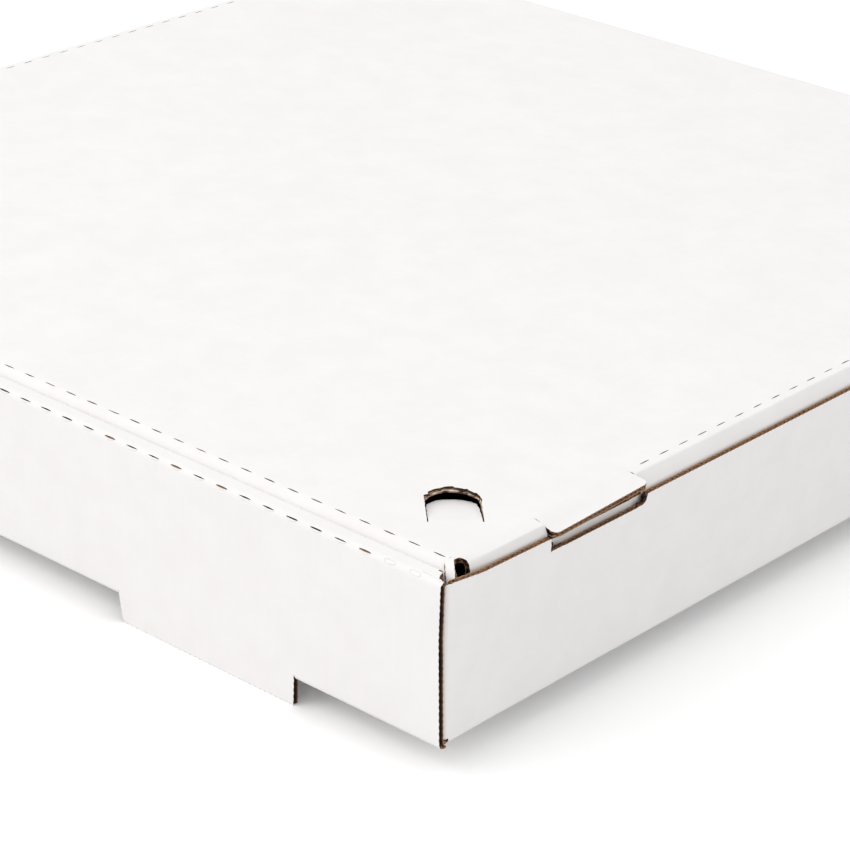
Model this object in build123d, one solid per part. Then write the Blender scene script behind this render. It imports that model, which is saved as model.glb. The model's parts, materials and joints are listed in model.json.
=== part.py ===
from build123d import *
import math
import os

# Pizza box, folded from corrugated board. Millimetres, X along the front wall,
# Y from the front wall to the back, Z up. The box stands on its two front tabs.

# Board and nominal inside size
board = 1.6
inside_width = 355.6
inside_length = 355.6

# Wall heights, measured from the underside of the base
front_wall_height = 45.6
side_wall_height = 42.3
side_wall_front_fall = 0.4
side_wall_corner_rise = 1.2
side_wall_corner_rise_length = 11.0
lid_height = 46.3

# Folds
crease_radius = 1.0
tuck_gap = 0.3
overrun = 5.0

# Roll-over front wall: outer wall, top strip and inner wall
front_wall_depth = 6.4
front_end_inset = 1.0
front_end_flare = 1.4
front_end_flare_height = 30.0
strip_end_inset = 1.1

# Front tabs that hang below the base, and the slots that they leave
tab_drop = 7.2
tab_from_side = 48.5
tab_width = 64.0
tab_end_slant = 1.5
tab_corner_radius = 2.0
slot_depth = 9.2
inner_tab_clearance = 1.0
inner_tab_reach = 1.5
inner_tab_chamfer = 1.0

# Tabs folded in from the ends of the side walls
dust_tab_length = 45.0
dust_tab_taper = 6.0

# Notch in the top edge of each side wall
notch_from_front = 40.1
notch_length = 38.5
notch_floor_height = 39.6
notch_corner_radius = 2.2

# Lid
lid_side_gap = 1.3
lid_front_gap = 0.5
shoulder_radius = 4.0
side_flap_from_front = 13.0
side_flap_from_back = 14.0
side_flap_taper = 10.0
flap_floor_gap = 0.3
side_flap_lift = 4.0
front_flap_lean = 4.5
front_flap_taper = 12.0
corner_relief_radius = 2.0
corner_relief_from_side = 4.1
corner_relief_from_front = 11.3
corner_ear_from_front = 4.2
corner_ear_drop = 4.0
hinge_gap = 0.3

# Tabs that reach from the lid over the notches in the side walls
lid_tab_from_front = 41.0
lid_tab_length = 37.5
lid_tab_overhang = 0.4
lid_tab_front_droop = 2.0
lid_tab_rear_droop = 0.7
lid_tab_corner_radius = 2.0
lid_tab_window_drop = 4.9

# Vents near the front corners, each with its pressed-in flap
vent_width = 14.1
vent_length = 18.3
vent_from_side = 19.7
vent_from_front = 26.6
vent_turn = 45.0
vent_kerf = 0.3
vent_pressed_in = 10.5

# Perforated creases: rows of short cuts through the board
cut_length = 3.9
cut_width = 0.4
cut_pitch = 8.16
front_fold_first_cut = 25.9
lid_front_first_cut = 10.4
lid_front_cuts_from_front = 10.2
lid_side_first_cut = 85.7
lid_side_cuts_from_side = 7.0

# Places that follow from the sizes above
outer_width = inside_width + 2 * board
outer_length = front_wall_depth + inside_length + board
side_face = outer_width / 2
back_face = outer_length / 2
front_face = -back_face
base_bottom = tab_drop
base_top = base_bottom + board
base_middle = base_bottom + board / 2
lid_top = base_bottom + lid_height
lid_middle = lid_top - board / 2
hinge_y = back_face - board / 2
shoulder_middle_radius = shoulder_radius - board / 2
wall_front_top = base_bottom + front_wall_height - board - tuck_gap
wall_corner_top = wall_front_top + side_wall_corner_rise
wall_back_top = base_bottom + side_wall_height
notch_front = front_face + notch_from_front
notch_back = notch_front + notch_length
lid_edge_x = side_face - board - lid_side_gap
lid_flap_x = lid_edge_x - board / 2
lid_panel_x = lid_edge_x - shoulder_radius
lid_flap_y = front_face + front_wall_depth + lid_front_gap + board / 2
lid_panel_y = lid_flap_y - board / 2 + shoulder_radius
lid_seam_y = lid_panel_y + tuck_gap


def folded_board(plane, points, radius, start, end):
    """Board that follows a folded line in the plane, from start to end along its normal."""
    line = FilletPolyline(*points, radius=radius) if len(points) > 2 else Line(*points)
    section = plane * trace(line, line_width=board)
    return extrude(section, end - start).moved(Location(plane.z_dir * start))


def prism(plane, points, start, end):
    """Straight-sided block with the given outline, from start to end along the plane's normal."""
    outline = plane * make_face(Polyline(*points, close=True))
    return extrude(outline, end - start).moved(Location(plane.z_dir * start))


def block(low, high):
    """Box between two corners."""
    size = [top - bottom for bottom, top in zip(low, high)]
    middle = [(top + bottom) / 2 for bottom, top in zip(low, high)]
    return Pos(*middle) * Box(*size)


def both_sides(piece):
    """The piece and its mirror image on the other side of the box."""
    return [piece, mirror(piece, about=Plane.YZ)]


# Planes whose normals run along the box's width and its length
across = Plane(origin=(0, 0, 0), x_dir=(0, 1, 0), z_dir=(1, 0, 0))
along = Plane(origin=(0, 0, 0), x_dir=(-1, 0, 0), z_dir=(0, 1, 0))


def base_and_side_walls():
    """Base with both side walls, highest at the front corner and lower behind the notch."""
    wall_x = side_face - board / 2
    start = front_face + board + tuck_gap + board / 2 + crease_radius
    points = [
        (-wall_x, wall_corner_top),
        (-wall_x, base_middle),
        (wall_x, base_middle),
        (wall_x, wall_corner_top),
    ]
    walls = folded_board(along, points, crease_radius, start, -start)
    waste = [
        (start, wall_corner_top),
        (start + side_wall_corner_rise_length, wall_front_top),
        (notch_front, wall_front_top - side_wall_front_fall),
        (notch_back, wall_back_top),
        (back_face, wall_back_top),
        (back_face, wall_corner_top + overrun),
        (start, wall_corner_top + overrun),
    ]
    return walls - prism(across, waste, -side_face - overrun, side_face + overrun)


def notch_cutter():
    """Notch in a side wall's top edge, square at the front and rounded at the back."""
    floor = base_bottom + notch_floor_height
    open_top = wall_corner_top + overrun
    outline = [(notch_front, floor), (notch_back, floor), (notch_back, open_top), (notch_front, open_top)]
    face = make_face(Polyline(*outline, close=True))
    corner = face.vertices().group_by(Axis.Y)[0].sort_by(Axis.X)[-1]
    section = across * fillet(corner, radius=notch_corner_radius)
    return extrude(section, board + overrun).moved(Location((side_face - board - overrun / 2, 0, 0)))


def dust_tab(end_face, inward, corner_top, top):
    """Tab that turns in from the end of a side wall, behind the wall at end_face."""
    wall_x = side_face - board / 2
    tab_y = end_face + inward * (board + tuck_gap + board / 2)
    turn_end = tab_y + inward * (crease_radius + tuck_gap)
    tip_x = side_face - dust_tab_length
    points = [(wall_x, turn_end), (wall_x, tab_y), (tip_x, tab_y)]
    bottom = base_top + tuck_gap
    tab = folded_board(Plane.XY, points, crease_radius, bottom, corner_top)
    taper_start = side_face - board - crease_radius
    tip_cuts = [
        [
            (tip_x, corner_top + overrun),
            (side_face, corner_top + overrun),
            (side_face, corner_top),
            (taper_start, top),
            (tip_x, top - dust_tab_taper),
        ],
        [(tip_x, bottom), (taper_start, bottom), (tip_x, bottom + dust_tab_taper)],
    ]
    side_view = Plane(origin=(0, tab_y, 0), x_dir=(1, 0, 0), z_dir=(0, -1, 0))
    for cut in tip_cuts:
        tab -= prism(side_view, cut, -board, board)
    return tab


def front_wall():
    """Outer wall, top strip and inner wall, rolled over and down to the base."""
    outer_y = front_face + board / 2
    inner_y = front_face + front_wall_depth - board / 2
    strip_z = base_bottom + front_wall_height - board / 2
    outer_end = side_face - front_end_inset
    inner_end = outer_end - (front_wall_depth - board)
    strip_turn = inner_y - crease_radius
    outer_points = [
        (front_face + front_wall_depth, base_middle),
        (outer_y, base_middle),
        (outer_y, strip_z),
        (strip_turn, strip_z),
    ]
    foot_end = outer_end + front_end_flare
    outer = folded_board(across, outer_points, crease_radius, -foot_end, foot_end)
    mitre = [
        (outer_end - strip_end_inset, front_face + board),
        (outer_end + overrun, front_face + board),
        (outer_end + overrun, front_face + front_wall_depth),
        (inner_end, front_face + front_wall_depth),
    ]
    end_waste = [
        (outer_end, strip_z + board),
        (outer_end, base_bottom + front_end_flare_height),
        (foot_end, base_bottom),
        (foot_end + overrun, base_bottom),
        (foot_end + overrun, strip_z + board),
    ]
    side_view = Plane(origin=(0, front_face, 0), x_dir=(1, 0, 0), z_dir=(0, -1, 0))
    flange_start = front_face + board + crease_radius
    low = (outer_end, flange_start, base_bottom - overrun)
    high = (foot_end + overrun, front_face + front_wall_depth + overrun, base_top + overrun)
    end_cutters = [
        prism(Plane.XY, mitre, strip_z - board, strip_z + board),
        prism(side_view, end_waste, -front_wall_depth - overrun, overrun),
        block(low, high),
    ]
    for end_cutter in end_cutters:
        for cutter in both_sides(end_cutter):
            outer -= cutter
    inner_points = [(strip_turn - board, strip_z), (inner_y, strip_z), (inner_y, base_top + tuck_gap)]
    inner = folded_board(across, inner_points, crease_radius, -inner_end, inner_end)
    return outer + inner


def cut_places(first, last):
    """Middles of a row's cuts, from the first towards the last."""
    count = int(abs(last - first) / cut_pitch) + 1
    step = math.copysign(cut_pitch, last - first)
    return [first + index * step for index in range(count)]


def front_fold_cuts():
    """Row of cuts along the front wall's upper fold, each through the middle of the bend."""
    y = front_face + board / 2 + crease_radius * (1 - math.sqrt(0.5))
    z = base_bottom + front_wall_height - board / 2 - crease_radius * (1 - math.sqrt(0.5))
    cut = Box(cut_length, cut_width, board + 2 * tuck_gap)
    cuts = []
    for x in cut_places(side_face - front_fold_first_cut, cut_pitch / 2):
        cuts += both_sides(Pos(x, y, z) * Rot(45, 0, 0) * cut)
    return cuts


def slot_cutter():
    """Slot left in the base where a front tab stays in the plane of the outer wall."""
    start = side_face - tab_from_side - tab_width
    low = (start, front_face + board, base_bottom - overrun)
    high = (start + tab_width, front_face + slot_depth, base_top)
    return block(low, high)


def front_tab():
    """Tab that runs down from the outer front wall, below the base."""
    near = side_face - tab_from_side
    far = near - tab_width
    root = base_top + crease_radius
    outline = [
        (near, root),
        (near, 0),
        (far + tab_end_slant, 0),
        (far, base_bottom),
        (far, root),
    ]
    face = make_face(Polyline(*outline, close=True))
    corner = face.vertices().group_by(Axis.Y)[0].sort_by(Axis.X)[0]
    face = fillet(corner, radius=tab_corner_radius)
    section = Plane(origin=(0, front_face + board, 0), x_dir=(1, 0, 0), z_dir=(0, -1, 0)) * face
    return extrude(section, board)


def inner_tab():
    """Lock tab on the inner wall's lower edge, which goes down through the slot."""
    near = side_face - tab_from_side - inner_tab_clearance
    far = near - tab_width + 2 * inner_tab_clearance
    top = base_top + board
    bottom = base_bottom - inner_tab_reach
    outline = [
        (near, top),
        (near, bottom + inner_tab_chamfer),
        (near - inner_tab_chamfer, bottom),
        (far + inner_tab_chamfer, bottom),
        (far, bottom + inner_tab_chamfer),
        (far, top),
    ]
    wall_y = front_face + front_wall_depth
    side_view = Plane(origin=(0, wall_y, 0), x_dir=(1, 0, 0), z_dir=(0, -1, 0))
    return prism(side_view, outline, 0, board)


def back_wall():
    """Back wall, up to the fold that carries the lid."""
    wall_end = side_face - front_end_inset
    points = [
        (back_face - front_wall_depth, base_middle),
        (hinge_y, base_middle),
        (hinge_y, lid_middle - board / 2 - hinge_gap),
    ]
    return folded_board(across, points, crease_radius, -wall_end, wall_end)


def tray():
    """Base, walls and tucked-in tabs: one folded sheet."""
    body = base_and_side_walls() + (front_wall() - front_fold_cuts()) + back_wall()
    front_dust_tab = dust_tab(front_face, 1, wall_corner_top, wall_front_top)
    back_dust_tab = dust_tab(back_face, -1, wall_back_top, wall_back_top)
    for tab in both_sides(front_dust_tab) + both_sides(back_dust_tab):
        body += tab
    for cutter in both_sides(notch_cutter()) + both_sides(slot_cutter()):
        body -= cutter
    for tab in both_sides(front_tab()) + both_sides(inner_tab()):
        body += tab
    return body


def lid_panel():
    """Flat top of the lid, with its rounded edge on the hinge line."""
    panel = block((-lid_panel_x, lid_seam_y, lid_top - board), (lid_panel_x, hinge_y, lid_top))
    edge = Pos(0, hinge_y, lid_middle) * Rot(0, 90, 0) * Cylinder(board / 2, 2 * lid_panel_x)
    return panel + edge


def side_flaps():
    """Side flaps, rolled down from the lid over soft shoulders."""
    bottom = base_top + side_flap_lift
    start = front_face + side_flap_from_front
    end = back_face - side_flap_from_back
    points = [
        (-lid_flap_x, bottom),
        (-lid_flap_x, lid_middle),
        (lid_flap_x, lid_middle),
        (lid_flap_x, bottom),
    ]
    flaps = folded_board(along, points, shoulder_middle_radius, lid_seam_y, end)
    top = lid_top - shoulder_radius
    tapers = [
        [(lid_seam_y, bottom), (start + side_flap_taper, bottom), (start, top), (lid_seam_y, top)],
        [(end, bottom), (end - side_flap_taper, bottom), (end, top)],
    ]
    for taper in tapers:
        flaps -= prism(across, taper, -side_face, side_face)
    return flaps


def front_flap():
    """Front flap, tucked in behind the inner wall and leaning away from it."""
    bottom = base_top + flap_floor_gap
    lean = math.tan(math.radians(front_flap_lean))
    foot_y = lid_flap_y + (lid_middle - bottom) * lean
    points = [(foot_y, bottom), (lid_flap_y, lid_middle), (lid_seam_y, lid_middle)]
    flap = folded_board(across, points, shoulder_middle_radius, -lid_edge_x, lid_edge_x)
    top = lid_top - shoulder_radius
    side_view = Plane(origin=(0, lid_flap_y, 0), x_dir=(1, 0, 0), z_dir=(0, -1, 0))
    taper = [
        (lid_edge_x, top),
        (lid_edge_x, bottom - board),
        (lid_edge_x - front_flap_taper, bottom - board),
    ]
    for cutter in both_sides(prism(side_view, taper, -shoulder_radius * 2, shoulder_radius * 2)):
        flap -= cutter
    return flap


def window_cutter():
    """Window left in a side flap where its tab stays in the plane of the lid."""
    start = front_face + lid_tab_from_front
    low = (lid_panel_x, start, lid_top - lid_tab_window_drop)
    high = (side_face, start + lid_tab_length, lid_top + overrun)
    return block(low, high)


def lid_tab():
    """Tab over the notch in the side wall, with its front corner pressed down towards it."""
    start = front_face + lid_tab_from_front
    end = start + lid_tab_length
    root_x = lid_panel_x - board
    tip_x = side_face + lid_tab_overhang
    waste_x = tip_x + board
    droop_per_reach = 1 / (tip_x - lid_panel_x)
    twist = (lid_tab_rear_droop - lid_tab_front_droop) / lid_tab_length
    ends = []
    for y in (start - board, end + board):
        tip_droop = lid_tab_front_droop + twist * (y - start)
        droop = tip_droop * droop_per_reach * (waste_x - lid_panel_x)
        outline = [
            (root_x, lid_top),
            (lid_panel_x, lid_top),
            (waste_x, lid_top - droop),
            (waste_x, lid_top - droop - board),
            (lid_panel_x, lid_top - board),
            (root_x, lid_top - board),
        ]
        side_view = Plane(origin=(0, y, 0), x_dir=(1, 0, 0), z_dir=(0, -1, 0))
        ends.append(side_view * make_face(Polyline(*outline, close=True)))
    plan = make_face(Polyline((root_x, start), (tip_x, start), (tip_x, end), (root_x, end), close=True))
    plan = fillet(plan.vertices().group_by(Axis.X)[-1], radius=lid_tab_corner_radius)
    plan_block = extrude(plan, lid_top + overrun)
    return loft(ends, ruled=True) & plan_block


def corner_relief():
    """Round-ended relief slot that runs out diagonally between the front flap and a side flap."""
    x = side_face - corner_relief_from_side
    y = front_face + corner_relief_from_front
    height = 2 * shoulder_radius
    length = 2 * shoulder_radius
    round_end = Cylinder(corner_relief_radius, height)
    run = Pos(length / 2, 0, 0) * Box(length, 2 * corner_relief_radius, height)
    return Pos(x, y, lid_top) * Rot(0, 0, -45) * (round_end + run)


def corner_room():
    """Space beside the strip's mitre, from the lid's panel to the box's corner."""
    mitre_y = front_face + front_wall_depth
    mitre_x = side_face - front_end_inset - front_wall_depth + board
    mitre_gap = 2 * tuck_gap
    outline = [
        (mitre_x - board, mitre_y + board + mitre_gap),
        (mitre_x + front_wall_depth, mitre_y - front_wall_depth + mitre_gap),
        (mitre_x + front_wall_depth, mitre_y + front_wall_depth),
        (mitre_x - board, mitre_y + front_wall_depth),
    ]
    return prism(Plane.XY, outline, lid_top - corner_ear_drop, lid_top + overrun)


def corner_ear():
    """Soft end of the front shoulder, which fills the strip's mitre beside the relief slot."""
    ear_y = front_face + corner_ear_from_front + board / 2
    radius = lid_panel_y - ear_y
    points = [(ear_y, lid_middle - radius), (ear_y, lid_middle), (lid_seam_y, lid_middle)]
    root_x = lid_panel_x - board
    tip_x = side_face - board - tuck_gap
    return folded_board(across, points, radius - tuck_gap / 2, root_x, tip_x) & corner_room()


def lid_cuts():
    """Rows of cuts along the lid's front crease and along its side creases behind the tabs."""
    height = 2 * board
    front_y = front_face + lid_front_cuts_from_front
    side_x = side_face - lid_side_cuts_from_side
    front_cut = Box(cut_length, cut_width, height)
    side_cut = Box(cut_width, cut_length, height)
    side_row_end = back_face - side_flap_from_back - cut_pitch
    cuts = []
    for x in cut_places(side_face - lid_front_first_cut, cut_pitch / 2):
        cuts += both_sides(Pos(x, front_y, lid_middle) * front_cut)
    for y in cut_places(front_face + lid_side_first_cut, side_row_end):
        cuts += both_sides(Pos(side_x, y, lid_middle) * side_cut)
    return cuts


def vent_outline(trim):
    """Vent outline from its hinge line at zero, with its edges moved in by trim."""
    half = vent_width / 2 - trim
    straight = vent_length - vent_width / 2
    return [
        Line((0, -half), (straight, -half)),
        ThreePointArc((straight, -half), (straight + half, 0), (straight, half)),
        Line((straight, half), (0, half)),
        Line((0, half), (0, -half)),
    ]


def vent_place():
    """Place of a vent's hinge line, turned to point at the middle of the lid."""
    x = side_face - vent_from_side
    y = front_face + vent_from_front
    return Pos(x, y, lid_middle) * Rot(0, 0, 180 - vent_turn)


def vent_cutter():
    """Opening of a vent, from just behind its hinge line."""
    opening = extrude(make_face(vent_outline(0)), board, both=True)
    hinge_room = board / 2 + vent_kerf
    low = (-hinge_room, -vent_width / 2, -board)
    high = (hinge_room, vent_width / 2, board)
    return vent_place() * (opening + block(low, high))


def vent_flap():
    """Vent flap with a round hinge edge, pressed in below the lid."""
    plate = extrude(make_face(vent_outline(vent_kerf)), board / 2, both=True)
    width = vent_width - 2 * vent_kerf
    edge = Rot(90, 0, 0) * Cylinder(board / 2, width)
    return vent_place() * Rot(0, vent_pressed_in, 0) * (plate + edge)


def lid():
    """Panel, tucked-in flaps and tabs: the sheet's other half."""
    front = front_flap()
    for room in both_sides(corner_room()):
        front -= room
    for ear in both_sides(corner_ear()):
        front += ear
    body = lid_panel() + front + side_flaps()
    for cutter in both_sides(window_cutter()) + both_sides(corner_relief()):
        body -= cutter
    for tab in both_sides(lid_tab()):
        body += tab
    for cutter in both_sides(vent_cutter()):
        body -= cutter
    return body - lid_cuts()


right_vent_flap, left_vent_flap = both_sides(vent_flap())
nodes = {
    "tray": tray(),
    "lid": lid(),
    "vent_flap_right": right_vent_flap,
    "vent_flap_left": left_vent_flap,
}

os.makedirs("parts", exist_ok=True)
for name, shape in nodes.items():
    export_step(shape, f"parts/{name}.step")
    print(name, len(shape.solids()), "solid,", round(shape.volume), "cubic millimetres")
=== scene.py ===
import bpy
import bmesh
import json
import math
from mathutils import Matrix, Vector, noise
from mathutils.kdtree import KDTree
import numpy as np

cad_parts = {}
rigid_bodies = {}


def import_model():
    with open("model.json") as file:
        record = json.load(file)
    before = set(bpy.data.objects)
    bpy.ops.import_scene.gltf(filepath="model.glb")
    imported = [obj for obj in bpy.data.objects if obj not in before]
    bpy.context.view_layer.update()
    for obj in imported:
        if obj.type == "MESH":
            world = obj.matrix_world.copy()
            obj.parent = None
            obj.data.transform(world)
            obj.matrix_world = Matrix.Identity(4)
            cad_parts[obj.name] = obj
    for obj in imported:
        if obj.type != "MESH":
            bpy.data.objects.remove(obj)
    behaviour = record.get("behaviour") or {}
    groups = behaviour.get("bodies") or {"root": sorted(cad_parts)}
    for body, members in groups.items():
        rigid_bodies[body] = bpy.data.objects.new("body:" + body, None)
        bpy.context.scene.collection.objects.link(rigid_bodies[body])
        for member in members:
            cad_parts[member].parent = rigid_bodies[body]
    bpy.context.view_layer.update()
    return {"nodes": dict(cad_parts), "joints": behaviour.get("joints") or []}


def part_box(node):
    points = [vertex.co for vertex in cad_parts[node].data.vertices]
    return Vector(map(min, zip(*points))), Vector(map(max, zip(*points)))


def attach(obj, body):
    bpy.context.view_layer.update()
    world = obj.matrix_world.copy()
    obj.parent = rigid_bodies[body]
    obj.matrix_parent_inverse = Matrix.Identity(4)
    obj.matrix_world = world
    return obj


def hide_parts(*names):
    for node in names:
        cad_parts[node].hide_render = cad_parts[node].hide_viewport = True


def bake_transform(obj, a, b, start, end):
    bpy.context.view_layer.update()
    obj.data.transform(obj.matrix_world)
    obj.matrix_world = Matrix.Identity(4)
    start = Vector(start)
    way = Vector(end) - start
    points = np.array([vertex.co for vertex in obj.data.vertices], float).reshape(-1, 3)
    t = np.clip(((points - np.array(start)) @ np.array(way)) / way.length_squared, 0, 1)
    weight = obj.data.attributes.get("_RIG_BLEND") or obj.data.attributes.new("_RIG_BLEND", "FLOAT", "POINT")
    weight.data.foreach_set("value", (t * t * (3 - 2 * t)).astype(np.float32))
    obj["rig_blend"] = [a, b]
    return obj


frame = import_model()

mm = 0.001
flutePitch = 3.4 * mm
scene = bpy.context.scene
nodes = frame["nodes"]
jointPlaces = {joint["name"]: Vector(joint["pos_m"]) for joint in frame["joints"]}
hinge = jointPlaces["lid_hinge"]
trayLow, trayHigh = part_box("tray")
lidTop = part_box("lid")[1][2]
print("frame loaded")


# Camera, at the photograph's angle
cameraSetup = {
    "place": (607.6 * mm, -684.5 * mm, 404.6 * mm),
    "azimuth": 40.921,
    "elevation": 25.156,
    "roll": 1.872,
    "focal": 3156.5,      # pixels of an 850 pixel frame
    "frameSize": 850,
    "sensor": 36,
    "clipEnd": 20,
}


def addCamera(setup):
    turn = (
        Matrix.Rotation(math.radians(setup["azimuth"]), 3, "Z")
        @ Matrix.Rotation(math.radians(90 - setup["elevation"]), 3, "X")
        @ Matrix.Rotation(math.radians(setup["roll"]), 3, "Z")
    )
    bpy.ops.object.camera_add(location=setup["place"], rotation=turn.to_euler())
    camera = bpy.context.object
    camera.data.sensor_width = setup["sensor"]
    camera.data.lens = setup["focal"] / setup["frameSize"] * setup["sensor"]
    camera.data.clip_end = setup["clipEnd"]
    scene.camera = camera


addCamera(cameraSetup)


# Light
lightSetup = {
    "skyColour": (1.0, 1.0, 1.0, 1),
    "skyStrength": 0.84,
    "lamps": [
        # place, size, power, colour
        ((-0.9, -1.5, 1.7), 1.6, 15, (1.0, 0.97, 0.96)),
        ((0.1, 0.4, 2.5), 1.2, 4, (1.0, 1.0, 0.99)),
    ],
    "lampAim": (0.1, -0.1, 0.04),
}


def addLights(setup):
    world = bpy.data.worlds.new("studioSky")
    world.use_nodes = True
    sky = world.node_tree.nodes["Background"]
    sky.inputs["Color"].default_value = setup["skyColour"]
    sky.inputs["Strength"].default_value = setup["skyStrength"]
    scene.world = world
    aim = Vector(setup["lampAim"])
    for place, size, power, colour in setup["lamps"]:
        bpy.ops.object.light_add(type="AREA", location=place)
        lamp = bpy.context.object
        lamp.data.size = size
        lamp.data.energy = power
        lamp.data.color = colour
        lamp.rotation_euler = (Vector(place) - aim).to_track_quat("Z", "Y").to_euler()


addLights(lightSetup)


# Materials: small helpers for their nodes
def newMaterial(name):
    material = bpy.data.materials.new(name)
    material.use_nodes = True
    tree = material.node_tree
    return material, tree, tree.nodes["Principled BSDF"]


def newGroup(name, inputs, outputs):
    group = bpy.data.node_groups.new(name, "ShaderNodeTree")
    for socketName, kind in inputs.items():
        group.interface.new_socket(socketName, in_out="INPUT", socket_type=kind)
    for socketName, kind in outputs.items():
        group.interface.new_socket(socketName, in_out="OUTPUT", socket_type=kind)
    return group, group.nodes.new("NodeGroupInput"), group.nodes.new("NodeGroupOutput")


# Links another node's output to a socket, or gives it a plain value
def feed(tree, socket, value):
    if isinstance(value, bpy.types.NodeSocket):
        tree.links.new(value, socket)
    else:
        socket.default_value = value


def addNode(tree, kind, **values):
    node = tree.nodes.new(kind)
    for name, value in values.items():
        if hasattr(node, name):
            setattr(node, name, value)
        else:
            feed(tree, node.inputs[name], value)
    return node


def addMath(tree, operation, *values, use_clamp=False):
    node = addNode(tree, "ShaderNodeMath", operation=operation, use_clamp=use_clamp)
    for socket, value in zip(node.inputs, values):
        feed(tree, socket, value)
    return node.outputs[0]


def addRange(tree, value, fromRange=(0, 1), toRange=(0, 1)):
    limits = {
        "From Min": fromRange[0],
        "From Max": fromRange[1],
        "To Min": toRange[0],
        "To Max": toRange[1],
    }
    return addNode(tree, "ShaderNodeMapRange", Value=value, **limits).outputs["Result"]


def addMix(tree, factor, first, second):
    mix = addNode(tree, "ShaderNodeMix", data_type="RGBA", Factor=factor, A=first, B=second)
    return mix.outputs["Result"]


# Paper surface: soft clouds, fine fibres and the faint lines of the flutes below
paperFinish = {
    "whiteLiner": {
        "Light Colour": (0.918, 0.904, 0.897, 1),
        "Dark Colour": (0.893, 0.876, 0.868, 1),
        "Cloud Size": 0.012,
        "Fibre Amount": 0.9,
        "Flute Amount": 0.05,
        "Flute Pitch": flutePitch,
    },
    "kraftLiner": {
        "Light Colour": (0.46, 0.31, 0.195, 1),
        "Dark Colour": (0.405, 0.267, 0.163, 1),
        "Cloud Size": 0.014,
        "Fibre Amount": 1.4,
        "Flute Amount": 0.3,
        "Flute Pitch": flutePitch,
    },
}

paperSurface = {
    "cloudNoise": {"Detail": 4.0, "Roughness": 0.6},
    "cloudRange": (0.35, 0.65),     # noise values of the darkest and the lightest paper
    "fibreNoise": {"Scale": 1100.0, "Detail": 4.0, "Roughness": 0.7},
    "roughness": (0.55, 0.75),
    "bumpHeight": 0.03 * mm,
    "bumpStrength": 0.4,
}


def makePaperGroup(surface):
    group, start, end = newGroup(
        "paperSurface",
        {
            "Light Colour": "NodeSocketColor",
            "Dark Colour": "NodeSocketColor",
            "Cloud Size": "NodeSocketFloat",
            "Fibre Amount": "NodeSocketFloat",
            "Flute Amount": "NodeSocketFloat",
            "Flute Pitch": "NodeSocketFloat",
        },
        {"Colour": "NodeSocketColor", "Height": "NodeSocketFloat", "Roughness": "NodeSocketFloat"},
    )
    given = start.outputs
    place = addNode(group, "ShaderNodeTexCoord").outputs["Object"]
    cloudScale = addMath(group, "DIVIDE", 1.0, given["Cloud Size"])
    cloudNode = addNode(group, "ShaderNodeTexNoise", Vector=place, Scale=cloudScale, **surface["cloudNoise"])
    clouds = cloudNode.outputs["Fac"]
    fibreNode = addNode(group, "ShaderNodeTexNoise", Vector=place, **surface["fibreNoise"])
    fibres = fibreNode.outputs["Fac"]

    # flute lines follow the board round its folds, from the run that each point stores
    run = addNode(group, "ShaderNodeAttribute", attribute_name="fluteRun").outputs["Fac"]
    angle = addMath(group, "MULTIPLY", addMath(group, "DIVIDE", run, given["Flute Pitch"]), 2 * math.pi)
    flutes = addMath(group, "MULTIPLY", addMath(group, "SINE", angle), given["Flute Amount"])

    cloudShare = addRange(group, clouds, fromRange=surface["cloudRange"])
    fibreOffset = addMath(group, "SUBTRACT", fibres, 0.5)
    paperShare = addMath(group, "MULTIPLY_ADD", fibreOffset, given["Fibre Amount"], cloudShare)
    total = addMath(group, "ADD", paperShare, flutes, use_clamp=True)
    feed(group, end.inputs["Colour"], addMix(group, total, given["Dark Colour"], given["Light Colour"]))
    feed(group, end.inputs["Height"], addMath(group, "ADD", fibres, flutes))
    feed(group, end.inputs["Roughness"], addRange(group, clouds, toRange=surface["roughness"]))
    return group


paperGroup = makePaperGroup(paperSurface)


def makePaper(name):
    material, tree, shader = newMaterial(name)
    paper = addNode(tree, "ShaderNodeGroup", node_tree=paperGroup, **paperFinish[name])
    bump = addNode(
        tree,
        "ShaderNodeBump",
        Strength=paperSurface["bumpStrength"],
        Distance=paperSurface["bumpHeight"],
        Height=paper.outputs["Height"],
    )
    feed(tree, shader.inputs["Base Color"], paper.outputs["Colour"])
    feed(tree, shader.inputs["Roughness"], paper.outputs["Roughness"])
    feed(tree, shader.inputs["Normal"], bump.outputs["Normal"])
    return material


# Cut edge: kraft brown where the crushed liners stand proud, with painted shade that darkens it with the
# depth behind them
cutFinish = {
    "depthShadeColours": [
        # share of the full depth, colour
        (0.0, (0.42, 0.255, 0.14, 1)),
        (0.11, (0.25, 0.13, 0.062, 1)),
        (0.31, (0.085, 0.035, 0.015, 1)),
        (0.9, (0.010, 0.006, 0.004, 1)),
    ],
    "fullDepth": 1.0 * mm,
    "grain": 0.1,               # share of the full depth
    "grainNoise": {"Scale": 1600.0, "Detail": 3.0, "Roughness": 0.7},
    "grainRange": (0.3, 0.7),   # noise values of the least and the most grain
    "tornWhite": (0.86, 0.82, 0.77, 1),
    "roughness": 0.9,
}


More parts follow.
